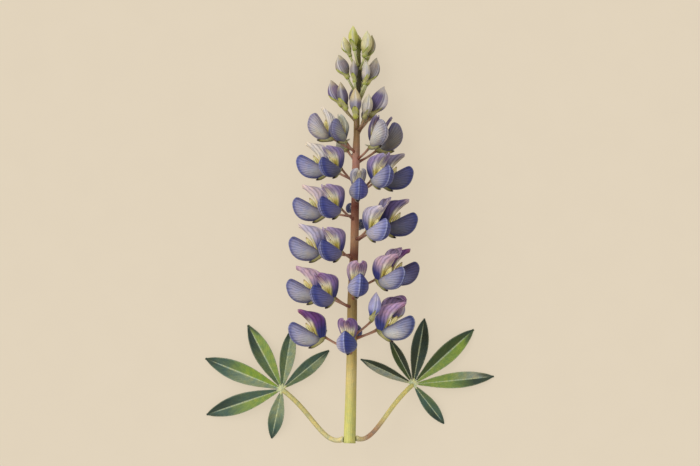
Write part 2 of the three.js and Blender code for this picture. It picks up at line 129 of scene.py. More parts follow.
WHORLS["i"] = [
    (180, 72.4, 3.5, 4.8, 0, 0.8, 70, "cream", 0.85),
    (122, 73.9, 3.4, 5.7, 0, 0.92, 82, "lime", 0.8),
    (43, 72.4, 3.2, 4.2, 0, 1, 80, "cream", 0.82),
    (-27, 70.2, 4, 5.8, 0, 0.98, 76, "moss", 0.7),
    (-90, 73.2, 2.6, 4.6, 0, 0.8, 82, "moss", 0.8),
]

# ------------ colours

# Wing petal: the pale patch near its base, its body and its margin, and how clear its pale rim is.
# On one bloom, a pale look beside a deep one is partly painted light and painted shade.
WING_LOOKS = {
    "pale": ("a39f9f 8f8ca6 494c80", 0.5),
    "lavender": ("b0aab4 a09db8 686ca2", 0.5),
    "deep": ("686480 504f7e 2b3270", 0.1),
    "royal": ("50567e 3f4779 283070", 0.0),
    "silver": ("c0bdb8 8484a0 27356f", 0.5),
    "slate": ("585762 4e4c6c 29306c", 0.2),
    "dusky": ("73769c 4b4568 2c2a5a", 0.3),
    "dove": ("8c8a8e 8e8a9e 4a5490", 0.3),
    "violet": ("77719c 5f5b90 43437f", 0.1),
    "azure": ("a3a0a2 8986a6 38458a", 0.5),
    "pearl": ("c0baae bab4b0 8c8592", 0.5),
    "smoke": ("716a60 666164 5a5676", 0.2),
    "mist": ("b6af9f a79fa6 7d7590", 0.5),
    "dim": ("8e8c80 6a6670 625e80", 0.2),
}
# Banner: the dark foot of its back, its lobes, its tip, the upper part of its face and of its crease, whose
# colour is partly its own and partly painted shade deep in the crease and its notch.
BANNER_LOOKS = {
    "wine": "2b2e66 623870 8c4468 6d2846 5a2040",
    "plum": "35376e 806493 8a5a80 c4a2a6 5d3058",
    "mauve": "3a4180 b896b8 aa7494 742c50 6a2c4c",
    "rose": "3f4180 b79aaa ac7e94 c9a6a4 7a3a62",
    "lilac": "454a84 b5abbe d6c5be dfd2c3 c8b7b4",
    "dusk": "36397a 8f7ca2 a98fa8 d6c8b0 b9a794",
    "blush": "54599a c6b2b8 d4bdb2 dfcfbc c9b4a6",
    "heather": "44467e 86759e 998aa4 dccfae a39892",
    "cream": "5a608e cec4bc e2d4b8 e8dcbb d6c9a4",
    "butter": "2f3a70 a39fb0 dccfb2 ece0b8 d9cb8e",
    "navy": "2f3060 5e4f7c bfa5a8 c6b498 5c4a6c",
    "loam": "2a2a58 71677e 9c8e86 c4b492 7a6a66",
    "umber": "3c3654 5c4f70 7d6c80 b9a29c 6c4a68",
    "sage": "5a5c66 a0a092 b8b496 d3ceac 8f8e6c",
}
# Bud: its two halves, its foot and its tip, and where along it the tip's colour starts.
BUD_LOOKS = {
    "lilac": ("a9a4c8 8d8ab8 3f4f96 b7b0cc", 0.6),
    "ink": ("424878 3a4170 30365f 5d5a80", 0.6),
    "silver": ("c3b9af a8a09a a39a8d c7c1a9", 0.5),
    "pearl": ("bfb5a6 a59c91 b0a595 c0b89b", 0.5),
    "frost": ("b3b09c aaa99a 9a9a86 b4b49b", 0.6),
    "heather": ("8c7488 74688c 5c5480 93808a", 0.6),
    "violet": ("6c597e 7a687d 564961 b2a48d", 0.62),
    "cloven": ("5f5278 b5abb2 55495a b6ab9f", 0.6),
    "dusk": ("6a626e 5c5368 4c454e ac9f7f", 0.6),
    "capped": ("8a828c 6a617b 6a6468 cab789", 0.36),
    "ash": ("8f8580 6f6668 6a6159 b1a68c", 0.6),
    "moon": ("9b908b 7e747b 83796e b1a78b", 0.6),
    "cream": ("d2c89a bdb482 a9a661 d3cd9b", 0.55),
    "lime": ("bcba64 a0a04a 878838 c4c474", 0.55),
    "moss": ("857a57 6a6143 68682d 948c61", 0.55),
}
BUD_GREENS = {"g": "a9ac3c", "h": "9ba632", "i": "7f8f1c"}  # calyx of the buds in the upper whorls
INK_CALYX = "454a5c"  # calyx of the small dark buds behind the stem
WING_CLAW = "868883"
WING_RIM = "bfc2d6"
WING_SEAM = "3c3f6e"
CALYX_STALK = "7d5f42"
CALYX_GREEN = "8b8549"
CALYX_PALE = "b4ad78"
CALYX_TIP = "2f1f19"
KEEL_FOOT = "c2b45e"
KEEL_SIDE = "e2d69c"
KEEL_STRIPE = "a89a3c"
KEEL_TIP = "8a6a4a"
KEEL_TIPS = {"umber": "8f2f5f"}  # on blooms with these banners
FACE_FOOT = "dccb62"
FACE_LOW = "f0e8cb"
CALYX_COLOURS = (
    (0, CALYX_STALK), (0.18, CALYX_GREEN), (0.5, CALYX_PALE), (0.78, CALYX_GREEN), (0.88, CALYX_TIP),
)
UPPER_LIP_COLOURS = ((0, CALYX_GREEN), (0.4, "cfcbb0"), (0.8, "b9b39a"), (1, "5d3c38"))
WING_INSIDE = "b7b3cd"
BANNER_DUSK = "5a3a78"  # darkens a shaded lobe
BANNER_EDGE = "d6cdd4"
BANNER_BACK = "b9b0c4"
BUD_RIM = "d9d4d6"
BUD_SEAM = "3a3450"
STEM_COLOURS = (
    (-90, "c9c672"), (-76, "c6c06c"), (-62, "cdb976"), (-52, "b09a58"), (-38, "a98f54"), (-26, "94774a"),
    (-14, "9b7148"), (-9, "7a4533"), (-3, "b58a66"), (6, "a06c52"), (12, "70392a"), (20, "a77862"),
    (32, "bd8878"), (40, "a98560"), (48, "8f7440"), (56, "5a4c30"), (62, "3f3926"), (72, "4b4530"),
    (76, "5a5424"), (82, "7f8540"),
)  # by place along the axis
STALK_COLOURS = ((0, "6b3a2c"), (0.22, "8c5847"), (0.5, "b58a75"), (0.85, "a0735a"), (1, "6e5638"))
YOUNG_STALK_COLOURS = ((0, "8a8648"), (1, "c3c58c"))
BRACT_COLOURS = ((0, "5c5f1c"), (0.5, "767a2c"), (0.85, "b0b35c"), (1, "6f5a3a"))
LEAF_GREENS = {
    "blue": "4a5e4a", "mid": "556641", "lime": "7c9334", "fresh": "7a8e41", "grey": "7f8b69",
    "ink": "303f32", "dark": "3a491f", "night": "2c341f", "silver": "92957f", "slate": "445b4a",
}
LEAF_RIB = "c3cba4"
LEAF_MARGIN = "a8b08c"
LEAF_UNDERSIDE = "9aa588"
STUB_COLOURS = ((0, "d3d3a6"), (0.6, "c6ca98"), (1, "a8b080"))
HAIR_COLOUR = "e4dfd2"
CARD_LIGHT, CARD_DARK = "e2d4bd", "dfd1ba"


def linear(code):
    """The linear colour of an sRGB code such as 8c8b95."""
    channels = np.array([int(code[i : i + 2], 16) for i in (0, 2, 4)]) / 255
    return np.where(channels <= 0.04045, channels / 12.92, ((channels + 0.055) / 1.055) ** 2.4)


def stacked(*values):
    """Numbers and arrays whose shapes fit each other, side by side along a new last axis."""
    return np.stack(np.broadcast_arrays(*values), axis=-1)


def ramp(value, *stops):
    """Colours for an array of values, from (place, colour code) stops."""
    places = [place for place, _ in stops]
    colours = np.array([linear(code) for _, code in stops])
    return stacked(*(np.interp(value, places, channel) for channel in colours.T))


def smooth(value, low, high):
    """Rises from 0 at low to 1 at high, without a corner."""
    share = np.clip((value - low) / (high - low), 0, 1)
    return share * share * (3 - 2 * share)


def bell(value, width):
    """Is 1 where a value is 0, and fades out on both sides over a width."""
    return np.exp(-((value / width) ** 2))


def blend(first, second, weight):
    """Two colours mixed by weights. Each is a colour code or an array of linear colours."""
    first, second = (linear(each) if isinstance(each, str) else each for each in (first, second))
    weight = np.asarray(weight)[..., None]
    return first * (1 - weight) + second * weight


def washed(ground, *washes):
    """A ground with washes laid over it in turn, each given by its colour, its strength and where it lies."""
    for colour, strength, where in washes:
        ground = blend(ground, colour, strength * where)
    return ground


# ------------ curves and surfaces


def shares(count):
    """A column of numbers from 0 to 1."""
    return np.linspace(0, 1, count)[:, None]


def sides_of(count):
    """A row of numbers from -1 to 1, from one side to the other."""
    return np.linspace(-1, 1, count)[None, :]


def around(count):
    """A row of angles round a ring."""
    return np.linspace(0, 2 * math.pi, count, endpoint=False)[None, :]


def spline(points, samples, closed=False):
    """Points on a smooth curve through the given ones."""
    knots = np.asarray(points, float)
    count = len(knots)
    spans = count if closed else count - 1
    at = np.linspace(0, spans, samples, endpoint=not closed)
    start = np.minimum(at.astype(int), spans - 1)
    f = (at - start)[:, None]
    near = start + np.arange(-1, 3)[:, None]
    a, b, c, d = knots[near % count if closed else np.clip(near, 0, count - 1)]
    return 0.5 * (2 * b + (c - a) * f + (2 * a - 5 * b + 4 * c - d) * f**2 + (3 * b - a - 3 * c + d) * f**3)


def evenly(points, samples):
    """A closed line of points, spaced evenly along its length."""
    ring = np.vstack([points, points[:1]])
    run = np.concatenate([[0], np.cumsum(np.linalg.norm(np.diff(ring, axis=0), axis=1))])
    at = np.linspace(0, run[-1], samples, endpoint=False)
    return stacked(*(np.interp(at, run, column) for column in ring.T))


def unit(vectors):
    """The same ways, each of length 1."""
    return vectors / np.maximum(np.linalg.norm(vectors, axis=-1, keepdims=True), 1e-9)


def grid_normals(grid, wrap, core):
    """The unit normal at each point of a grid of points, on the side away from a core."""
    along = np.gradient(grid, axis=0)
    if wrap:
        across = np.roll(grid, -1, axis=1) - np.roll(grid, 1, axis=1)
    else:
        across = np.gradient(grid, axis=1)
    normal = unit(np.cross(along, across))
    return normal if np.mean(np.sum(normal * (grid - core), axis=-1)) >= 0 else -normal


def grid_quads(rows, columns, wrap):
    """The faces of a grid of points, by the numbers of their corners."""
    i = np.arange(rows - 1)[:, None] * columns
    j = np.arange(columns if wrap else columns - 1)[None, :]
    k = (j + 1) % columns
    return stacked(i + j, i + k, i + columns + k, i + columns + j).reshape(-1, 4)


class Tissue:
    """The surfaces of one piece: points with a tint and a flow value each, and faces with a material.

    The first value of a flow counts the veins across the tissue, and the second runs along them.
    """

    def __init__(self):
        self.points, self.tints, self.flows, self.faces, self.materials = [], [], [], [], []
        self.count = 0
        self.hairs = []

    def add(self, points, quads, triangles, tints, flows, material):
        """One closed surface, turned right side out."""
        split = np.vstack([quads[:, [0, 1, 2]], quads[:, [0, 2, 3]], triangles])
        corners = points[split]
        volume = np.einsum("ij,ij->", corners[:, 0], np.cross(corners[:, 1], corners[:, 2]))
        if volume < 0:
            quads, triangles = quads[:, ::-1], triangles[:, ::-1]
        self.points.append(points)
        self.tints.append(np.broadcast_to(tints, points.shape))
        self.flows.append(flows)
        self.faces += (quads + self.count).tolist() + (triangles + self.count).tolist()
        self.materials += [material] * (len(quads) + len(triangles))
        self.count += len(points)

    def sheet(self, grid, thickness, core, tints, flow, material, pole=None, hairs=None):
        """A thin petal: grid is its outer face, and its inner face lies a thickness nearer the core.

        Tints are those of the two faces, and hairs are the number and length of those on the outer one. With
        a pole it is a cup: its columns close on themselves, and its first row closes on that point.
        """
        rows, columns = grid.shape[:2]
        size = rows * columns
        wrap = pole is not None
        normal = grid_normals(grid, wrap, core)
        inner = grid - normal * np.broadcast_to(thickness, grid.shape[:2])[..., None]
        quads = grid_quads(rows, columns, wrap)
        j = np.arange(columns if wrap else columns - 1)
        k = (j + 1) % columns
        edges = [stacked(j, k) + size - columns]
        if not wrap:
            i = np.arange(rows - 1) * columns
            edges += [stacked(k, j), stacked(i, i + columns), stacked(i + 2 * columns - 1, i + columns - 1)]
        start, end = np.vstack(edges).T
        rim = stacked(start, end, end + size, start + size)
        points = np.vstack([grid.reshape(-1, 3), inner.reshape(-1, 3)])
        tints = np.vstack([np.broadcast_to(tint, grid.shape).reshape(-1, 3) for tint in tints])
        flows = np.vstack([flow.reshape(-1, 2)] * 2)
        triangles = np.zeros((0, 3), int)
        if wrap:
            depth = -normal[0].mean(axis=0) * np.mean(thickness)
            points = np.vstack([points, pole, pole + depth])
            tints, flows = (
                np.vstack([each, each[:columns].mean(axis=0), each[size : size + columns].mean(axis=0)])
                for each in (tints, flows)
            )
            triangles = np.vstack([stacked(k, j, 2 * size), stacked(j + size, k + size, 2 * size + 1)])
        self.add(points, np.vstack([quads, quads[:, ::-1] + size, rim]), triangles, tints, flows, material)
        self.fur(grid, normal, hairs)

    def loft(self, rings, tint, flow, material, hairs=None):
        """A solid skin over closed rings, with each end closed to the middle of its ring."""
        rows, columns = rings.shape[:2]
        size = rows * columns
        j = np.arange(columns)
        k = (j + 1) % columns
        points, tints, flows = (
            np.vstack([each.reshape(size, -1), each[0].mean(axis=0), each[-1].mean(axis=0)])
            for each in (rings, np.broadcast_to(tint, rings.shape), flow)
        )
        top = size - columns
        triangles = np.vstack([stacked(k, j, size), stacked(top + j, top + k, size + 1)])
        self.add(points, grid_quads(rows, columns, True), triangles, tints, flows, material)
        self.fur(rings, grid_normals(rings, True, rings.mean(axis=(0, 1))), hairs)

    def fur(self, grid, ways, hairs):
        """Keeps where the hairs of a surface may stand and lead, if it has any."""
        if hairs:
            self.hairs.append((grid.reshape(-1, 3), ways.reshape(-1, 3), *hairs))

    def mesh(self, name, matrix, materials):
        """An object of these surfaces, moved by a matrix and kept above the floor."""
        points = moved(np.vstack(self.points), matrix)
        points[:, 2] = np.maximum(points[:, 2], 0.0)
        mesh = bpy.data.meshes.new(name)
        mesh.from_pydata((points * MM).tolist(), [], self.faces)
        for layer, kind, rows, last in (("tint", "COLOR", self.tints, 1), ("flow", "VECTOR", self.flows, 0)):
            values = np.pad(np.vstack(rows), ((0, 0), (0, 1)), constant_values=last).astype(np.float32)
            attribute = mesh.attributes.new(layer, "FLOAT_" + kind, "POINT")
            attribute.data.foreach_set(kind.lower(), values.ravel())
        mesh.polygons.foreach_set("material_index", self.materials)
        mesh.polygons.foreach_set("use_smooth", [True] * len(self.faces))
        for material in materials:
            mesh.materials.append(material)
        return placed(name, mesh)


def placed(name, data):
    """A new object in the scene, from a mesh, light or camera."""
    new = bpy.data.objects.new(name, data)
    bpy.context.scene.collection.objects.link(new)
    return new


# ------------ places


def cos_sin(degrees):
    """The cosine and the sine of an angle."""
    return math.cos(math.radians(degrees)), math.sin(math.radians(degrees))


def turn(axis, degrees):
    """A 4 by 4 turn round axis 0, 1 or 2."""
    c, s = cos_sin(degrees)
    i, j = [(1, 2), (2, 0), (0, 1)][axis]
    matrix = np.eye(4)
    matrix[[i, i, j, j], [i, j, i, j]] = c, -s, s, c
    return matrix


def shift(x, y, z):
    """A 4 by 4 shift."""
    matrix = np.eye(4)
    matrix[:3, 3] = (x, y, z)
    return matrix


def moved(points, matrix):
    """Points after a 4 by 4 move."""
    return points @ matrix[:3, :3].T + matrix[:3, 3]


SPIKE_FRAME = shift(0, LOWEST_WHORL, AXIS_HEIGHT) @ turn(0, -SPIKE_TILT) @ shift(0, -LOWEST_WHORL, 0)


def stem_at(y, column):
    """The stem's drift or diameter at a place along its axis."""
    return np.interp(y, [row[0] for row in STEM], [row[column] for row in STEM])


def axis_at(y):
    """The middle of the stem at a place along its axis."""
    return stacked(stem_at(y, DRIFT), y, 0.0)


def outward(azimuth):
    """The way out from the spike's axis at an azimuth."""
    c, s = cos_sin(azimuth)
    return np.array([c, 0, s])


def seat(row):
    """Where a bloom sits: the way out to it, its base, its frame, and how its stalk arrives there."""
    azimuth, height, reach, rise, _, size, lean, *_ = row
    out = outward(azimuth)
    up = (0, 1, 0)
    base = axis_at(height) + out * reach + (0, rise, 0)
    matrix = np.eye(4)
    matrix[:3, :3] = stacked(out, up, np.cross(out, up))
    matrix[:3, 3] = base
    matrix = SPIKE_FRAME @ matrix @ turn(2, lean) @ np.diag([size, size, size, 1])
    arrival = math.atan2(rise, reach - stem_at(height, DIAMETER) / 4) - math.radians(lean)
    return out, base, matrix, arrival


# ------------ blooms
# In a bloom's own frame u leads out from the stalk, v towards the tip of the spike and w to the right.

PETALS, GREENS = 0, 1  # material slots of a bloom
SEPAL = 0.22  # thickness
SEPAL_HAIR = 0.8  # length

WING_OUTLINE = [
    (2.7, 0.3), (8.6, 3.9), (12.6, 6.1), (14.4, 6.6), (15.8, 5.4), (16.3, 3.2),
    (15.2, -0.5), (12.8, -3), (9.8, -4), (6.4, -4), (3.6, -3), (2.2, -1.4),
]
WING_HEART = (9.2, 0.3)  # where it puffs out most
WING_SHARES = np.array([0.14, 0.3, 0.45, 0.58, 0.69, 0.78, 0.86, 0.91, 0.945, 0.968, 0.982, 0.993, 1.0])
WING_SEGMENTS = 52
WING_HALF_WIDTH = 4.5
WING_THICKNESS = 0.2
WING_EDGE = 0.012  # half width at its seam, against its widest
WING_PINCH = 0.4  # how much narrower its upper side is
WING_RIPPLE = 0.03  # against the half width
WING_RIDGE = 0.07  # height of the ridge beside the seam
RIDGE_AT = 0.98  # where it runs on the way from the heart to the seam
WING_PATCH = (7.4, -1.8)  # the middle of the pale patch
FAN_FOOT = (2.6, -0.9)  # where the veins of a wing spread from


def wing(tissue, side, look):
    """One wing petal: a shell puffed out to its side, with a fine ridge along the seam."""
    codes, rim = look
    patch, body, margin = codes.split()
    outline = evenly(spline(WING_OUTLINE, 120, closed=True), WING_SEGMENTS)
    share = WING_SHARES[:, None]
    plane = WING_HEART + share[..., None] * (outline - WING_HEART)
    u, v = plane[..., 0], plane[..., 1]
    pinch = 1 - WING_PINCH * smooth(v - 0.35 * (u - WING_HEART[0]), 0.5, 5.5)
    dome = WING_EDGE + (1 - WING_EDGE) * (1 - share**2.6) ** 0.75
    ripple = 1 + WING_RIPPLE * np.sin(1.9 * u + 1.3 * v) * share
    ridge = WING_RIDGE * bell(share - RIDGE_AT, 0.012)
    w = side * (WING_HALF_WIDTH * dome * pinch * ripple + ridge)
    fan = np.arctan2(v - FAN_FOOT[1], u - FAN_FOOT[0])
    reach = np.hypot(u - FAN_FOOT[0], v - FAN_FOOT[1])
    tint = washed(
        body,
        (patch, 1, bell(u - WING_PATCH[0], 4.8) * bell(v - WING_PATCH[1], 2.8)),
        (margin, 0.3, smooth(reach, 8.5, 13.5)),
        (margin, 0.85, smooth(share, 0.74, 0.93)),
        (margin, 0.5, smooth(v - 0.5 * (u - WING_HEART[0]), 1.1, 4.1) * smooth(share, 0.45, 0.85)),
        (WING_CLAW, 0.7, 1 - smooth(u, 2.8, 5.2)),
        (WING_RIM, rim, bell(share - RIDGE_AT, 0.01)),
        (WING_SEAM, 0.7, smooth(share, 0.992, 0.998)),
    )
    tints = (tint, blend(tint, WING_INSIDE, 0.4))
    pole = (*WING_HEART, side * WING_HALF_WIDTH * 0.995)
    core = (*WING_HEART, -side * 20.0)
    flow = stacked(fan * 6.5, reach * 0.1)
    tissue.sheet(stacked(u, v, w), WING_THICKNESS, core, tints, flow, PETALS, pole=pole)


# Banner rows: front edge u and v, back margin u and v, half width, depth of the middle crease.
BANNER_ROWS = [
    (3.2, -1, 0.6, -0.4, 0.8, 0.3), (4.6, 1.4, -0.1, 2.2, 2.3, 0.5), (5.7, 3.8, -0.2, 5.2, 3.6, 0.7),
    (7.2, 6.4, 0.8, 8.2, 4.4, 1), (9.2, 8.6, 3.4, 10.2, 4.4, 1.1), (10.8, 10, 6.6, 11.1, 3.6, 0.9),
    (11.5, 10.6, 9.6, 11.2, 2.4, 0.5), (12, 10.9, 11.7, 11.1, 1.2, 0.1),
]
BANNER_THICKNESS = 0.28
BANNER_FACE = 0.36  # share of each half that looks at the keel
BANNER_FRONT_WIDTH = 0.48  # where the face ends, against its half width
BANNER_TUCK = 0.78  # where its back margins end, against the half width
BANNER_HUMP = 1.1  # how far each lobe rises beside the middle
BANNER_RUFFLE = 0.2
BANNER_HINGE = (3.4, -0.6)
BANNER_CLOSED = 24.0  # degrees by which it leans over in a bud
BANNER_FURLED = 0.5  # its width in a bud against an open bloom's
BANNER_FLARE = 0.4  # how far its left lobe also spreads, for its lift
NOTCH_WIDTH = 0.11  # of the notch at its top, against the half width


def banner(tissue, openness, look, lift, lobe_shade, face_shade, notched):
    """The banner: a face creased along its middle, and a lobe on each side folded back from it.

    Its left lobe is drawn up by lift and darkened by the two shades, and notched is the depth of its notch.
    """
    foot, lobe, tip, face_top, crease_pigment_and_shade = look.split()
    rows = spline(BANNER_ROWS, 28)
    front, back = rows[:, None, 0:2], rows[:, None, 2:4]
    half, crease = rows[:, None, 4], rows[:, None, 5]
    along, across = shares(len(rows)), sides_of(37)
    away, left = np.abs(across), across < 0
    fold = np.clip((away - BANNER_FACE) / (1 - BANNER_FACE), 0, 1)
    inside = np.minimum(away / BANNER_FACE, 1)
    plane = front + (back - front) * openness * (fold**1.25)[..., None]
    notch = notched * bell(away, NOTCH_WIDTH) * smooth(along, 0.7, 0.92)
    sink = crease * (1 - inside**1.6)
    ruffle = BANNER_RUFFLE * np.sin(13 * along + 2.2 * np.sign(across)) * fold**2
    hump = BANNER_HUMP * np.sin(math.pi * fold) ** 2 * smooth(along, 0.4, 0.95)
    swell = np.sin(np.minimum(fold / 0.55, 1) * math.pi / 2) * (1 - BANNER_FRONT_WIDTH)
    bulge = BANNER_FRONT_WIDTH * inside + swell - (1 - BANNER_TUCK) * smooth(fold, 0.5, 1.0)
    w = np.sign(across) * half * bulge
    u = plane[..., 0] - sink + ruffle - 0.5 * notch - BANNER_HINGE[0]
    v = plane[..., 1] - 0.6 * sink + hump - notch + lift * np.maximum(-w, 0) - BANNER_HINGE[1]
    close = -math.radians(BANNER_CLOSED) * (1 - openness)
    spread = (BANNER_FURLED + (1 - BANNER_FURLED) * openness) * (1 + BANNER_FLARE * lift * left)
    grid = stacked(
        u * math.cos(close) - v * math.sin(close) + BANNER_HINGE[0],
        u * math.sin(close) + v * math.cos(close) + BANNER_HINGE[1],
        w * spread,
    )
    lobes = ramp(along - 0.12 * fold, (0.15, foot), (0.36, lobe), (0.68, lobe), (0.95, tip))
    lobes = blend(lobes, BANNER_DUSK, lobe_shade * left * smooth(along, 0.15, 0.4))
    face = washed(
        ramp(along, (0.28, FACE_FOOT), (0.42, FACE_LOW), (0.6, face_top), (0.92, tip)),
        # partly the banner's own colour and partly painted shade, darkening the upper crease where the notch
        # lies
        (crease_pigment_and_shade, 0.85, smooth(along, 0.6, 0.85) * (1 - smooth(inside, 0.1, 0.45))),
        (BANNER_DUSK, face_shade, left * smooth(along, 0.35, 0.6)),
    )
    bend = 0.85 * smooth(inside, 0.35, 0.8) * smooth(along, 0.35, 0.6)
    edge = np.clip(smooth(fold, 0.93, 1.0) + smooth(along, 0.97, 1.0), 0, 1)
    tint = washed(face, (lobes, 1, np.maximum(bend, smooth(fold, 0.03, 0.3))), (BANNER_EDGE, 0.4, edge))
    tints = (tint, blend(lobes, BANNER_BACK, 0.25))
    flow = stacked(across * (5.0 - 2.0 * along), along)
    tissue.sheet(grid, BANNER_THICKNESS, (-30.0, 4.0, 0.0), tints, flow, PETALS)


def ovals(u, v, high, wide, slant, phase):
    """Rings across a path, from columns of its u and v, half height, half width and slant."""
    rise = high * np.cos(phase)
    return stacked(u - rise * np.sin(slant), v + rise * np.cos(slant), wide * np.sin(phase))


KEEL = [(4.6, -1.4, 0.7), (6, 1, 1.1), (7.3, 3.6, 1.3), (8.6, 6.2, 0.2)]  # u, v and half height
KEEL_WIDTH = 0.8  # against its height
KEEL_RISE = 64.0  # degrees


def keel(tissue, foot, tip):
    """The keel, curved up between the wings like a claw."""
    u, v, high = np.hsplit(spline(KEEL, 14), 3)
    along, phase = shares(len(u)), around(12)
    rings = ovals(u, v, high, high * KEEL_WIDTH, math.radians(KEEL_RISE), phase)
    tint = ramp(along, (0.35, foot), (0.6, KEEL_SIDE), (0.86, KEEL_SIDE), (0.97, tip))
    stripe = bell(np.cos(phase), 0.3) * smooth(along, 0.2, 0.4) * (1 - smooth(along, 0.7, 0.9))
    tissue.loft(rings, blend(tint, KEEL_STRIPE, 0.6 * stripe), stacked(phase, along), PETALS)


# Calyx of an open bloom: u, v, half height, half width and slant in degrees. Its foot turns to its stalk.
CALYX = [
    (0, 0, 0.75, 0.75, 0), (1.4, -0.6, 1.3, 1.3, -30), (3.2, -2.2, 1.15, 1.5, -42),
    (5.6, -4, 0.8, 1.2, -34), (7.4, -4.7, 0.28, 0.3, -22),
]
UPPER_LIP = [(0.5, 0.7, 1.1), (-0.2, 1.6, 1.4), (-0.6, 2.5, 0.9), (-0.7, 3.2, 0.2)]  # u, v and half width
LIP_HAIR = 0.6


def calyx(tissue, arrival):
    """The calyx of an open bloom: a cup that runs out into a long lower lip, and a short upper lip."""
    u, v, high, wide, slant = np.hsplit(spline(CALYX, 18), 5)
    along, phase = shares(len(u)), around(16)
    rings = ovals(u, v, high, wide, np.radians(slant) + arrival * (1 - along) ** 6, phase)
    under = smooth(-np.cos(phase), 0.5, 1.0) * smooth(along, 0.1, 0.4)
    tint = blend(ramp(along, *CALYX_COLOURS), CALYX_TIP, 0.45 * under)
    tissue.loft(rings, tint, stacked(phase * 1.6, along), GREENS, hairs=(80, SEPAL_HAIR))
    u, v, wide = np.hsplit(spline(UPPER_LIP, 10), 3)
    along, across = shares(len(u)), sides_of(9)
    grid = stacked(u + 0.5 * across**2 * wide, v, wide * across)
    tints = [ramp(along, *UPPER_LIP_COLOURS)] * 2
    flow = stacked(across * 3, along)
    tissue.sheet(grid, SEPAL, (20.0, 2.0, 0.0), tints, flow, GREENS, hairs=(20, LIP_HAIR))


def open_bloom(arrival, openness, looks, *folding):
    """An open or half-open bloom."""
    tissue = Tissue()
    right_look, left_look, banner_look = looks.split()
    wing(tissue, 1, WING_LOOKS[right_look])
    wing(tissue, -1, WING_LOOKS[left_look])
    banner(tissue, openness, BANNER_LOOKS[banner_look], *folding)
    keel(tissue, KEEL_FOOT if openness == 1 else KEEL_SIDE, KEEL_TIPS.get(banner_look, KEEL_TIP))
    calyx(tissue, arrival)
    return tissue


# Bud: place along its axis and radius, of its folded petals and of its calyx cup.
BUD_POD = [
    (1.6, 0.9), (2.8, 1.6), (4, 2.4), (5.2, 2.85), (6.8, 2.95),
    (8.4, 2.5), (9.8, 1.75), (10.9, 0.95), (11.6, 0.2),
]
BUD_CUP = [(0, 0.7), (0.5, 1.1), (1.1, 1.4), (1.8, 1.6), (2.3, 1.75)]
BUD_LIP = 4.6  # how far its calyx's lower lip runs up
BUD_LIP_FRONT = 2.6  # the same in front of the stem or behind it
BUD_UPPER_LIP = 1.0
CUP_PROUD = 0.17  # how far the cup stands off the petals
SEAM_TURN = 0.95  # radians by which its seam is turned to the side


def bud_arch(along):
    """How far a bud bends down from its axis at a place along it."""
    return 0.35 * np.sin(np.clip((along - 2) / 9.5, 0, 1) * math.pi)


def bud(arrival, look, greens, girth, sideways):
    """A bud: petals folded over each other along a seam, in a calyx with a longer lower lip."""
    codes, capped = look
    one, other, foot, tip = codes.split()
    tissue = Tissue()
    phase = around(32)
    past_seam = (phase + SEAM_TURN * sideways) % (2 * math.pi) - math.pi
    from_seam = np.abs(past_seam)
    groove = 0.13 * bell(from_seam, 0.22) + 0.08 * bell(math.pi - from_seam, 0.3)
    overlap = 0.05 * smooth(past_seam, 0, 0.3) * (1 - smooth(past_seam, 0.6, math.pi))
    place, full = np.hsplit(spline(BUD_POD, 24) * (1, girth), 2)
    radius = full * (1 - groove + overlap)
    rings = stacked(
        place + 0.36 * smooth(place, 9, 11.5) * np.cos(phase),
        1.04 * radius * np.cos(phase) - bud_arch(place),
        0.94 * radius * np.sin(phase),
    )
    along = (place - 2.6) / 8.9
    sides = blend(other, one, smooth(-np.sin(past_seam), -0.12, 0.12))
    tint = washed(
        blend(foot, sides, smooth(along, 0.05, 0.42)),
        (tip, 0.9, smooth(along, capped, capped + 0.3)),
        (BUD_RIM, 0.55, bell(from_seam - 0.16, 0.1)),
        (BUD_SEAM, 0.5, bell(from_seam, 0.07)),
    )
    tissue.loft(rings, tint, stacked(phase * 2.2, along), PETALS)
    cup_place, cup_radius = np.hsplit(spline(BUD_CUP, 14), 2)
    along = shares(len(cup_place))
    lower = bell(phase - math.pi, 0.85)
    upper = bell((phase + math.pi) % (2 * math.pi) - math.pi, 0.6)
    lip = BUD_LIP_FRONT + (BUD_LIP - BUD_LIP_FRONT) * abs(sideways)
    reach = cup_place + (lip * lower + BUD_UPPER_LIP * upper - 0.2) * along**2
    neck = cup_radius * (0.5 + 0.5 * girth)
    hug = np.interp(reach, place[:, 0], full[:, 0]) * (1 - groove) + CUP_PROUD
    radius = neck + (hug - neck) * smooth(along, 0.3, 0.8)
    grid = ovals(reach, -bud_arch(reach), radius, radius, arrival * (1 - along) ** 4, phase)
    tint = ramp(along, (0, CALYX_STALK), (0.2, greens[0]), (0.7, greens[1]), (1, greens[0]))
    tint = blend(tint, CALYX_TIP, smooth(along * lower, 0.9, 0.99))
    flow = stacked(phase * 1.6, along)
    core, pole, down = (2.0, 0.0, 0.0), (-0.05, 0.0, 0.0), (90, SEPAL_HAIR)
    tissue.sheet(grid, SEPAL, core, [tint] * 2, flow, GREENS, pole=pole, hairs=down)
    return tissue


# ------------ stem

STEM_RIDGES, LEAF_STALK_RIDGES = 0.025, 0.02  # height of the five ridges, against the radius
STEM_PAINTED_SHADE = 0.26  # painted shade: how much darker its right side is, away from the key light
STEM_HAIR = 0.45
TIP_TAPER = (0.8, 0.35)  # of its last two rings


def tube(path, radii, sides, ridges=0.0, start=None):
    """Rings round a path of points, and the angles round them. Start is the way in which it sets out."""
    chord = unit(np.gradient(path, axis=0))
    if start is not None:
        chord[0] = start
    across = (0, 0, 1) if abs(chord[0][2]) < 0.9 else (1, 0, 0)
    phase = around(sides)
    rings = []
    for point, along, radius in zip(path, chord, radii):
        across = unit(across - along * np.dot(across, along))
        ring = np.cos(phase.T) * across + np.sin(phase.T) * np.cross(along, across)
        rings.append(point + radius * (1 + ridges * np.cos(5 * phase.T)) * ring)
    return np.array(rings), phase


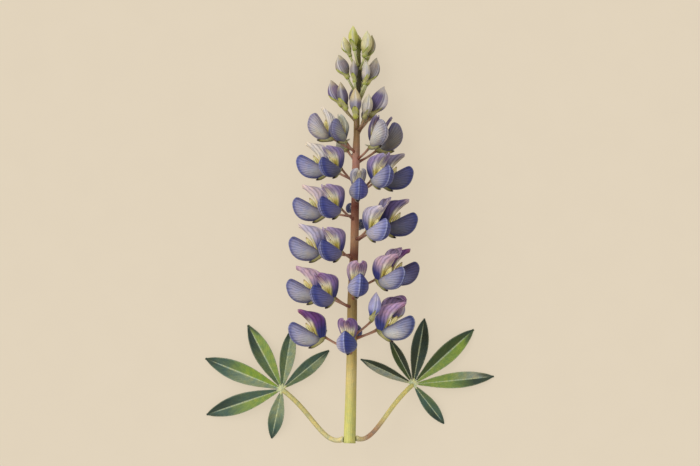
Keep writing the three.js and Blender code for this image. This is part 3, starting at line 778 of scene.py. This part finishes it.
def stem():
    """The main axis with its ridges, the stalk of every bloom and the bracts at the tip."""
    tissue = Tissue()
    y = np.arange(STEM[0][0], STEM[-1][0] + 0.5, 1.0)
    radii = stem_at(y, DIAMETER) / 2
    radii[-2:] *= TIP_TAPER
    rings, phase = tube(axis_at(y), radii, 30, ridges=STEM_RIDGES)
    y = y[:, None]
    # painted shade on the stem's right side, away from the key light
    right = smooth(rings[..., 0] - stem_at(y, DRIFT), -0.5, 1.8)
    tint = ramp(y, *STEM_COLOURS) * (1 - STEM_PAINTED_SHADE * right)[..., None]
    flow = stacked(phase * 3.2, y * 0.05)
    tissue.loft(moved(rings, SPIKE_FRAME), tint, flow, 0, hairs=(700, STEM_HAIR))
    for rows in WHORLS.values():
        for row in rows:
            stalk(tissue, row)
    for row in TIP_BRACTS:
        bract(tissue, *row)
    return tissue


# Young bracts round the growing tip: azimuth, height, length and lean out from the axis in degrees.
TIP_BRACTS = [
    (100, 81.5, 5.6, 8), (20, 80.6, 5, 16), (160, 80.2, 4.6, 18),
    (250, 80.8, 5, 14), (310, 81, 5.2, 10),
]
BRACT_HALF_WIDTH = 0.95
BRACT_FOOT = 0.75  # its distance from the axis
BRACT_HOLLOW = 0.35  # how far its margins bend in, against its half width


def bract(tissue, azimuth, height, length, lean):
    """A young bract: a narrow pointed scale, hollow towards the axis."""
    out, aside, lean = outward(azimuth), outward(azimuth + 90), math.radians(lean)
    along, across = shares(14), sides_of(7)
    half = BRACT_HALF_WIDTH * np.sin(math.pi * (0.2 + 0.8 * along)) ** 0.7 * (1 - 0.25 * along)
    reach = BRACT_FOOT + along * length * math.sin(lean) - BRACT_HOLLOW * across**2 * half
    middle = axis_at(height)
    grid = middle + reach[..., None] * out + (half * across)[..., None] * aside
    grid[..., 1] += along * length * math.cos(lean)
    tints, flow = [ramp(along, *BRACT_COLOURS)] * 2, stacked(across * 3, along)
    world, core = moved(grid, SPIKE_FRAME), moved(middle, SPIKE_FRAME)
    tissue.sheet(world, SEPAL, core, tints, flow, 0, hairs=(22, SEPAL_HAIR))


STALK_RADIUS = 0.5
STALK_FOOT, STALK_HEAD = 0.3, 0.12  # how far its two ends swell
STALK_DROP = 0.6  # how far below its height it is rooted
STALK_ROOT = 0.6  # where it starts, against the stem's radius
STALK_SEAT = 0.4  # how far it runs on into the calyx
STALK_SAG = 0.35
STALK_HAIR = 0.5
YOUNG_STALKS = (40, 60)  # heights between which they turn green


def stalk(tissue, row):
    """A flower stalk, swollen at its foot and under its bloom."""
    out, base, _, _ = seat(row)
    _, height, *_ = row
    middle = axis_at(height) - (0, STALK_DROP, 0)
    root = middle + out * STALK_ROOT * stem_at(height, DIAMETER) / 2
    end = base + unit(base - middle) * STALK_SEAT
    along = shares(14)
    path = root + (end - root) * along
    path[:, 1:2] -= STALK_SAG * np.sin(math.pi * along)
    radii = STALK_RADIUS + STALK_FOOT * bell(along, 0.16) + STALK_HEAD * bell(along - 1, 0.12)
    rings, phase = tube(path, radii, 12)
    young = smooth(height, *YOUNG_STALKS)
    tint = blend(ramp(along, *STALK_COLOURS), ramp(along, *YOUNG_STALK_COLOURS), young)
    flow = stacked(phase * 1.5, along)
    tissue.loft(moved(rings, SPIKE_FRAME), tint, flow, 0, hairs=(40, STALK_HAIR))


# ------------ leaves

# Leaf: side of the stem, hub, place of its foot along the axis, thickness and colours of its stalk. Leaflet:
# length, width, direction, then the greens near the hub and near the tip of its left half and right half.
# A leaflet's two halves take different greens, partly its own and partly painted light on one side of its
# fold and painted shade on the other.
LEAVES = {
    "leaf_left": {
        "side": -1, "hub": (-29.4, -67.4, 3.4), "foot": -88.2, "thick": 2.1,
        "stalk": ((0, "d0c694"), (0.3, "c2b67e"), (0.7, "b9ad6c"), (0.95, "b8b070"), (1, "c6c490")),
        "leaflets": [
            (36, 8.4, 158.3, "grey slate lime blue"),
            (31.6, 7.8, 118.1, "mid ink fresh fresh"),
            (26.7, 6.5, 80.6, "mid blue grey grey"),
            (26.5, 6.3, 39.4, "blue slate mid grey"),
            (34.8, 8.2, 198.8, "fresh slate blue ink"),
            (22.1, 6.5, 258.1, "grey slate grey slate"),
        ],
    },
    "leaf_right": {
        "side": 1, "hub": (27.7, -65.2, 3.4), "foot": -87.8, "thick": 2,
        "stalk": (
            (0, "cbbf86"), (0.12, "bda47c"), (0.2, "a47c62"),
            (0.36, "b08f6c"), (0.5, "d0c27c"), (1, "c8be70"),
        ),
        "leaflets": [
            (25.3, 4.6, 154.8, "silver silver night night"),
            (21.8, 4.6, 117.6, "dark dark night night"),
            (29, 7.2, 80.1, "night ink ink night"),
            (35.6, 7.9, 41.9, "dark dark fresh lime"),
            (35.4, 6.8, 5.3, "fresh silver fresh ink"),
            (22, 5.4, -52.1, "mid slate slate ink"),
        ],
    },
}
LEAFLET_TIP = 0.4  # height of a leaflet's tip above the surface
LEAFLET_ARCH = 1.2
LEAFLET_TROUGH = 0.25  # how far its margins rise, against its half width
MIDRIB_SINK = 0.18
VEIN_PRESS = 0.09  # depth of the side veins
VEIN_PITCH = 34 / 30  # radians of them to a millimetre of length
BLADE, MIDRIB = 0.22, 0.3  # thickness, and what the midrib adds
MARGIN_HAIR = 0.75


def leaflet(tissue, hub, row):
    """One leaflet: a shallow trough along a pale midrib, with side veins pressed into it."""
    length, width, direction, greens = row
    c, s = cos_sin(direction)
    along, across = np.linspace(0.02, 1, 44)[:, None], sides_of(17)
    away = np.abs(across)
    half = width / 2 * np.maximum(0.07, np.sin(math.pi * along**1.25).clip(0) ** 0.8)
    run, aside = along * length, half * across
    rise = hub[2] + LEAFLET_ARCH * np.sin(math.pi * along) - (hub[2] - LEAFLET_TIP) * along
    veins = VEIN_PRESS * np.sin(VEIN_PITCH * run - 7 * away) * away**0.5 * (1 - across**4)
    z = rise + LEAFLET_TROUGH * half * across**2 + veins - MIDRIB_SINK * bell(across, 0.1)
    grid = stacked(hub[0] + run * c - aside * s, hub[1] + run * s + aside * c, z)
    left_low, left_high, right_low, right_high = (LEAF_GREENS[green] for green in greens.split())
    left = ramp(along, (0.45, left_low), (0.75, left_high))
    right = ramp(along, (0.45, right_low), (0.75, right_high))
    # the two halves: partly painted light and painted shade across the fold
    tint = washed(
        blend(right, left, smooth(across, -0.05, 0.05)),
        (LEAF_GREENS["ink"], 0.85, smooth(along + 0.05 * np.sin(4 * across + direction), 0.78, 0.94)),
        (LEAF_RIB, 0.7, bell(aside, 0.13) * (1 - smooth(along, 0.8, 0.98))),
        (LEAF_MARGIN, 0.35, smooth(away, 0.86, 1.0)),
    )
    tints = (tint, blend(tint, LEAF_UNDERSIDE, 0.5))
    flow = stacked((run - 2.2 * away * half) * 0.55, along)
    thickness = BLADE + MIDRIB * bell(across, 0.14) * (1 - 0.7 * along)
    below = grid.mean(axis=(0, 1)) - (0, 0, 50.0)
    tissue.sheet(grid, thickness, below, tints, flow, 0)
    margins = grid[:, [0, -1]]
    ways = unit(np.array([(s, -c, 0.25), (-s, c, 0.25)]) + 0.45 * np.array([c, s, 0]))
    tissue.fur(margins, np.broadcast_to(ways, margins.shape), (150, MARGIN_HAIR))


LEAF_GAP = 0.3  # clearance between the stem and a leaf stalk
LEAF_STALK_DIP = 11.0  # how far it first runs down beside the stem
LEAF_STALK_FOOT, LEAF_STALK_HEAD = 0.25, 0.12  # how its ends swell, against its radius
LEAF_STALK_END = 0.7  # its last ring, against its radius
LEAF_STALK_SHADE = 0.18  # how much darker its lower side is
STUB_RADII = (0.55, 0.75, 0.72, 0.66, 0.6, 0.5, 0.4, 0.3)  # of the pale foot of a leaflet
STUB_LENGTH, STUB_RISE = 2.6, 0.05


def leaf(data):
    """A palmate leaf: its stalk, the hub and the leaflets."""
    tissue = Tissue()
    hub, side, foot = np.array(data["hub"]), data["side"], data["foot"]
    joint = moved(axis_at(foot), SPIKE_FRAME)
    joint[0] += side * (stem_at(foot, DIAMETER) / 2 + LEAF_GAP)
    along = shares(34) ** 1.5
    path = joint + (hub - joint) * along
    path[:, 1:2] -= LEAF_STALK_DIP * np.sin(math.pi * along) * (1 - along) ** 2
    swell = LEAF_STALK_FOOT * bell(along, 0.06) + LEAF_STALK_HEAD * bell(along - 1, 0.05)
    radii = data["thick"] / 2 * (1 + swell)
    radii[-1] *= LEAF_STALK_END
    rings, phase = tube(path, radii, 18, ridges=LEAF_STALK_RIDGES, start=(side, 0, 0))
    low = smooth(path[:, None, 1] - rings[..., 1], -0.2, 1.0)
    tint = ramp(along, *data["stalk"]) * (1 - LEAF_STALK_SHADE * low)[..., None]
    tissue.loft(rings, tint, stacked(phase * 2.4, along * 3), 0, hairs=(260, STALK_HAIR))
    for row in data["leaflets"]:
        leaflet(tissue, hub, row)
        along = shares(len(STUB_RADII))
        out = np.array([*cos_sin(row[2]), STUB_RISE])
        rings, phase = tube(hub + out * STUB_LENGTH * along, STUB_RADII, 10)
        tissue.loft(rings, ramp(along, *STUB_COLOURS), stacked(phase, along), 0)
    return tissue


# ------------ hairs

HAIR_RADIUS = 0.028
HAIR_ROOT = 0.1  # how deep a hair starts in the tissue
HAIR_STRAY, HAIR_TOSS = 0.12, 0.28  # spread of their starts and of their ways
HAIR_LENGTHS = (0.6, 1.2)  # against the length asked for


def hairs(name, seeds, material):
    """Short fine hairs as thin closed needles, from (points, directions, number, length) seeds."""
    tissue = Tissue()
    starts, ends = [], []
    for points, ways, number, length in seeds:
        pick = rng.integers(0, len(points), number)
        stray = rng.normal(0, HAIR_STRAY, (number, 3))
        way = unit(ways[pick] + rng.normal(0, HAIR_TOSS, (number, 3)))
        start = points[pick] + stray - way * HAIR_ROOT
        starts.append(start)
        ends.append(start + way * length * rng.uniform(*HAIR_LENGTHS, (number, 1)))
    start, end = np.vstack(starts), np.vstack(ends)
    way = end - start
    aside = unit(np.cross(way, (0.3, 0.2, 1.0)))
    other = unit(np.cross(way, aside))
    corners = [start + HAIR_RADIUS * (math.cos(t) * aside + math.sin(t) * other) for t in around(3)[0]]
    points = np.stack([*corners, end], axis=1).reshape(-1, 3)
    points[:, 2] = np.maximum(points[:, 2], 0.0)
    first = np.arange(len(start))[:, None, None] * 4
    triangles = (first + np.array([[0, 1, 3], [1, 2, 3], [2, 0, 3], [0, 2, 1]])).reshape(-1, 3)
    quads, flows = np.zeros((0, 4), int), np.zeros((len(points), 2))
    tissue.add(points, quads, triangles, linear(HAIR_COLOUR), flows, 0)
    return tissue.mesh(name, np.eye(4), [material])


# ------------ materials


class Nodes:
    """A material's nodes. Inputs are given by name or number, as values or outputs of other nodes."""

    def __init__(self, name):
        self.material = bpy.data.materials.new(name)
        self.material.use_nodes = True
        self.tree = self.material.node_tree
        self.shader = self.tree.nodes["Principled BSDF"]

    def feed(self, node, inputs):
        for socket, value in inputs.items():
            if isinstance(value, bpy.types.NodeSocket):
                self.tree.links.new(value, node.inputs[socket])
            else:
                node.inputs[socket].default_value = value

    def make(self, kind, inputs, **settings):
        """The outputs of a new node."""
        node = self.tree.nodes.new("ShaderNode" + kind)
        for key, value in settings.items():
            setattr(node, key, value)
        self.feed(node, inputs)
        return node.outputs

    def math(self, operation, *values):
        return self.make("Math", dict(enumerate(values)), operation=operation)[0]

    def noise(self, vector, scale, detail):
        return self.make("TexNoise", {"Vector": vector, "Scale": scale, "Detail": detail})["Fac"]

    def multiply(self, first, second):
        return self.make("VectorMath", {0: first, 1: second}, operation="MULTIPLY")[0]

    def scale(self, colour, value):
        return self.make("VectorMath", {0: colour, "Scale": value}, operation="SCALE")[0]


# Skins: depth of the veins, of the streaks along them and of the mottling, roughness, sheen, veins to a unit
# of flow, relief, and how far pigment warms and cools the tint.
SKINS = {
    "petal_skin": (0.55, 0.7, 0.2, 0.6, 0.06, 5.0, 0.3, 0.12),
    "bud_skin": (0.3, 0.7, 0.2, 0.62, 0.06, 5.0, 0.25, 0.12),
    "calyx_skin": (0.3, 0.6, 0.25, 0.7, 0.1, 4.0, 0.3, 0.12),
    "stem_skin": (0.25, 0.6, 0.25, 0.6, 0.03, 3.0, 0.4, 0.12),
    "leaf_skin": (0.5, 0.8, 0.6, 0.55, 0.03, 5.0, 0.6, 0.24),
    "hair_skin": (0.0, 0.0, 0.05, 0.7, 0.2, 6.0, 0.25, 0.12),
}
VEIN_WANDER, BLOTCHES, GRAIN = 420.0, 520.0, 2600.0  # noises, as counts to a metre
RELIEF_DEPTH = 0.12
GLOSS, SHEEN_SPREAD = 0.3, 0.45


def tissue_material(name, vein_depth, streaks, mottle, roughness, sheen, lines, relief, wash):
    """Plant tissue: its tint, darkened along fine veins that follow the flow, and mottled by pigment."""
    n = Nodes(name)
    tint = n.make("Attribute", {}, attribute_name="tint")["Color"]
    flow = n.make("Attribute", {}, attribute_name="flow")["Vector"]
    place = n.make("TexCoord", {})["Object"]
    across = n.math("MULTIPLY", n.make("SeparateXYZ", {0: flow})["X"], lines)
    wave = n.math("SINE", n.math("MULTIPLY_ADD", n.noise(place, VEIN_WANDER, 3.0), 3.6, across))
    vein = n.math("POWER", n.math("SUBTRACT", 1.0, n.math("ABSOLUTE", wave)), 1.4)
    streak = n.noise(n.multiply(flow, (0.5 * lines, 2.5, 1.0)), 1.0, 4.0)
    grain = n.noise(place, GRAIN, 2.0)
    shade = 1.0 + 0.5 * mottle + 0.28 * vein_depth + 0.5 * streaks
    for mark, depth in ((vein, vein_depth), (streak, streaks), (grain, mottle)):
        shade = n.math("SUBTRACT", shade, n.math("MULTIPLY", mark, depth))
    mix = {
        "Factor": n.math("MULTIPLY_ADD", n.noise(place, BLOTCHES, 4.0), 2.4, -0.7),
        "A": (1 - wash, 1 - 0.5 * wash, 1 + 0.4 * wash, 1),
        "B": (1 + wash, 1 + 0.5 * wash, 1 - 0.4 * wash, 1),
    }
    pigment = n.make("Mix", mix, data_type="RGBA")["Result"]
    bump = {"Strength": relief, "Distance": RELIEF_DEPTH * MM, "Height": n.math("SUBTRACT", grain, streak)}
    n.feed(n.shader, {
        "Base Color": n.scale(n.multiply(tint, pigment), shade),
        "Normal": n.make("Bump", bump)[0],
        "Roughness": roughness,
        "Specular IOR Level": GLOSS,
        "Sheen Weight": sheen,
        "Sheen Roughness": SHEEN_SPREAD,
    })
    return n.material


CARD_GLOW = 0.8  # share of the card's light that comes from below
CARD_FIBRES = 60.0  # to a metre


def floor_material():
    """Plain cream card, lit a little from below so that nothing throws a hard shadow on it."""
    n = Nodes("floor_card")
    fibre = n.noise(n.make("TexCoord", {})["Object"], CARD_FIBRES, 6.0)
    mix = {"Factor": fibre, "A": (*linear(CARD_LIGHT), 1), "B": (*linear(CARD_DARK), 1)}
    colour = n.make("Mix", mix, data_type="RGBA")["Result"]
    n.feed(n.shader, {
        "Base Color": n.scale(colour, 1 - CARD_GLOW),
        "Emission Color": colour,
        "Emission Strength": CARD_GLOW,
        "Roughness": 0.9,
        "Specular IOR Level": 0.1,
    })
    return n.material


# ------------ the part

skins = {name: tissue_material(name, *row) for name, row in SKINS.items()}
hair_seeds = []


def dress(tissue, name, matrix, used, node):
    """Makes the piece that stands for a node of the frame, and keeps its hairs for later."""
    piece = tissue.mesh(name, matrix, [skins[skin] for skin in used])
    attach(piece, "root")
    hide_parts(node)
    scale = np.cbrt(np.linalg.det(matrix[:3, :3]))
    for points, ways, number, length in tissue.hairs:
        hair_seeds.append((moved(points, matrix), ways @ matrix[:3, :3].T / scale, number, length))


OPEN_FROM = 0.3  # a bloom that is less open than this is a bud
SHADED_TO = 110  # azimuth up to which a banner's left lobe is the further one, and darker
LOBE_SHADE = 0.45
FACE_SHADED_FROM = 20  # azimuth from which that lobe's face is darker too
FACE_SHADE = 0.58
FRONT = (60, 110)  # azimuths of the open blooms that face the viewer
FRONT_NOTCH = 2.0  # depth of the notch in their banners
SIDE_NOTCH = 0.5  # and on the other open blooms

for whorl, rows in WHORLS.items():
    for index, row in enumerate(rows, 1):
        azimuth, _, _, _, openness, _, _, look, last = row
        _, _, matrix, arrival = seat(row)
        if openness > OPEN_FROM:
            shaded = azimuth < SHADED_TO and "butter" not in look
            face_shade = FACE_SHADE if shaded and azimuth > FACE_SHADED_FROM else 0
            notched = FRONT_NOTCH if FRONT[0] < azimuth < FRONT[1] else SIDE_NOTCH
            tissue = open_bloom(arrival, openness, look, last, LOBE_SHADE * shaded, face_shade, notched)
            name, node, skin, slot = f"bloom_{whorl}{index}", f"floret_{whorl}{index}", "petal_skin", "petals"
        else:
            greens = (BUD_GREENS.get(whorl, CALYX_GREEN), CALYX_PALE)
            if look == "ink":
                greens = (INK_CALYX, INK_CALYX)
            tissue = bud(arrival, BUD_LOOKS[look], greens, last, cos_sin(azimuth)[0])
            name, node, skin = f"young_{whorl}{index}", f"bud_{whorl}{index}", "bud_skin"
            slot = "bud_tips" if whorl == "i" else "buds"
        dress(tissue, name, matrix, [skin, "calyx_skin"], node)

dress(stem(), "spike_stem", np.eye(4), ["stem_skin"], "stem")
for name, data in LEAVES.items():
    dress(leaf(data), name.replace("leaf", "palm"), np.eye(4), ["leaf_skin"], name)
down = hairs("spike_down", hair_seeds, skins["hair_skin"])
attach(down, "root")

# ------------ stage, light and camera, in metres

scene = bpy.context.scene

FLOOR_SIZE = 6.0
FLOOR_DROP = 0.00005
half = FLOOR_SIZE / 2
corners = [(-half, -half, 0), (half, -half, 0), (half, half, 0), (-half, half, 0)]
floor_mesh = bpy.data.meshes.new("floor")
floor_mesh.from_pydata(corners, [], [(0, 1, 2, 3)])
floor_mesh.materials.append(floor_material())
floor = placed("floor", floor_mesh)
floor.location.z = -FLOOR_DROP

ROOM_COLOUR = (1.0, 0.985, 0.96, 1)
ROOM_LIGHT = 0.75
room = bpy.data.worlds.new("soft_room")
scene.world = room
room.use_nodes = True
room.node_tree.nodes["Background"].inputs["Color"].default_value = ROOM_COLOUR
room.node_tree.nodes["Background"].inputs["Strength"].default_value = ROOM_LIGHT

KEY_LIGHT = 1.3
KEY_SPREAD = 50  # degrees
KEY_WAY = Vector((1.1, -0.6, -1.3))  # down and to the right in the picture
key = placed("key", bpy.data.lights.new("key", "SUN"))
key.data.energy = KEY_LIGHT
key.data.angle = math.radians(KEY_SPREAD)
key.rotation_euler = KEY_WAY.to_track_quat("-Z", "Y").to_euler()

LENS, SENSOR = 200.0, 36.0  # millimetres
VIEW_WIDTH = 0.3031  # what the picture spans at the height named next
VIEW_LEVEL = 0.012
VIEW_CENTRE = (0.0002, 0.0006)
VIEW_END = 10.0
camera = placed("camera", bpy.data.cameras.new("camera"))
camera.data.lens = LENS
camera.data.sensor_width = SENSOR
camera.data.clip_end = VIEW_END
camera.location = (*VIEW_CENTRE, VIEW_LEVEL + VIEW_WIDTH * LENS / SENSOR)
scene.camera = camera
scene.view_settings.view_transform = "Standard"
